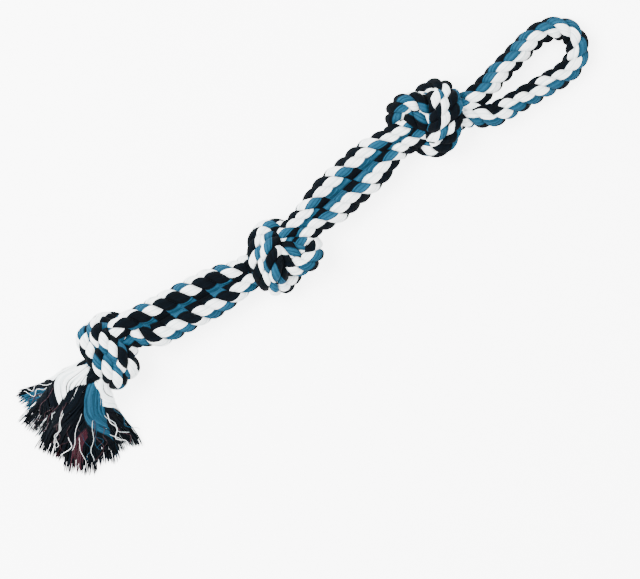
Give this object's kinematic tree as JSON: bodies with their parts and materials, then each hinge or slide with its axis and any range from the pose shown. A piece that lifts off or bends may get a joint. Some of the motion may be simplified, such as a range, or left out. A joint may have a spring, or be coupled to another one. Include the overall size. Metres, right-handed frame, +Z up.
{
  "type": "rope dog toy",
  "caption": "Rope tug toy for a dog: one thick laid cotton rope folded into a hand loop, both legs tied together in tight overhand knots, ends frayed into a tassel.",
  "frame": {"origin": "on the ground, under the middle of the toy's bounding box as it lies", "axes": "+X from the tassel towards the hand loop, +Y to the left of that seen from above, +Z up"},
  "size_m": [0.6135, 0.1173, 0.0483],
  "materials": {
    "white_cotton": "matt",
    "blue_cotton": "matt",
    "black_cotton": "matt"
  },
  "bodies": {
    "middle_knot": {"middle_knot_left_white": "white_cotton", "middle_knot_left_blue": "blue_cotton", "middle_knot_left_black": "black_cotton", "middle_knot_right_white": "white_cotton", "middle_knot_right_blue": "blue_cotton", "middle_knot_right_black": "black_cotton", "lower_bend_left_white": "white_cotton", "lower_bend_left_blue": "blue_cotton", "lower_bend_left_black": "black_cotton", "lower_bend_right_white": "white_cotton", "lower_bend_right_blue": "blue_cotton", "lower_bend_right_black": "black_cotton", "upper_bend_left_white": "white_cotton", "upper_bend_left_blue": "blue_cotton", "upper_bend_left_black": "black_cotton", "upper_bend_right_white": "white_cotton", "upper_bend_right_blue": "blue_cotton", "upper_bend_right_black": "black_cotton"},
    "top_knot": {"top_knot_left_white": "white_cotton", "top_knot_left_blue": "blue_cotton", "top_knot_left_black": "black_cotton", "top_knot_right_white": "white_cotton", "top_knot_right_blue": "blue_cotton", "top_knot_right_black": "black_cotton", "upper_span_left_white": "white_cotton", "upper_span_left_blue": "blue_cotton", "upper_span_left_black": "black_cotton", "upper_span_right_white": "white_cotton", "upper_span_right_blue": "blue_cotton", "upper_span_right_black": "black_cotton", "loop_bend_left_white": "white_cotton", "loop_bend_left_blue": "blue_cotton", "loop_bend_left_black": "black_cotton", "loop_bend_right_white": "white_cotton", "loop_bend_right_blue": "blue_cotton", "loop_bend_right_black": "black_cotton"},
    "loop": {"loop_white": "white_cotton", "loop_blue": "blue_cotton", "loop_black": "black_cotton"},
    "bottom_knot": {"bottom_knot_left_white": "white_cotton", "bottom_knot_left_blue": "blue_cotton", "bottom_knot_left_black": "black_cotton", "bottom_knot_right_white": "white_cotton", "bottom_knot_right_blue": "blue_cotton", "bottom_knot_right_black": "black_cotton", "lower_span_left_white": "white_cotton", "lower_span_left_blue": "blue_cotton", "lower_span_left_black": "black_cotton", "lower_span_right_white": "white_cotton", "lower_span_right_blue": "blue_cotton", "lower_span_right_black": "black_cotton"},
    "tassel": {"tassel_left_white": "white_cotton", "tassel_left_blue": "blue_cotton", "tassel_left_black": "black_cotton", "tassel_right_white": "white_cotton", "tassel_right_blue": "blue_cotton", "tassel_right_black": "black_cotton"}
  },
  "joints": [
    {"name": "upper_bend", "type": "hinge", "parent": "middle_knot", "child": "top_knot", "pos_m": [0.031, 0.0005, 0.0216], "axis": [0, 0, 1], "range_deg": [-35, 35], "deforming": ["upper_bend_left_white", "upper_bend_left_blue", "upper_bend_left_black", "upper_bend_right_white", "upper_bend_right_blue", "upper_bend_right_black"]},
    {"name": "lower_bend", "type": "hinge", "parent": "middle_knot", "child": "bottom_knot", "pos_m": [-0.0894, 0.0047, 0.0208], "axis": [0, 0, 1], "range_deg": [-35, 35], "deforming": ["lower_bend_left_white", "lower_bend_left_blue", "lower_bend_left_black", "lower_bend_right_white", "lower_bend_right_blue", "lower_bend_right_black"]},
    {"name": "loop_bend", "type": "hinge", "parent": "top_knot", "child": "loop", "pos_m": [0.198, -0.0213, 0.0184], "axis": [0, 0, 1], "range_deg": [-30, 30], "deforming": ["loop_bend_left_white", "loop_bend_left_blue", "loop_bend_left_black", "loop_bend_right_white", "loop_bend_right_blue", "loop_bend_right_black"]},
    {"name": "tassel_bend", "type": "hinge", "parent": "bottom_knot", "child": "tassel", "pos_m": [-0.2298, 0.0196, 0.0269], "axis": [0, 0, 1], "range_deg": [-25, 25], "deforming": ["tassel_left_white", "tassel_left_blue", "tassel_left_black", "tassel_right_white", "tassel_right_blue", "tassel_right_black"]}
  ]
}
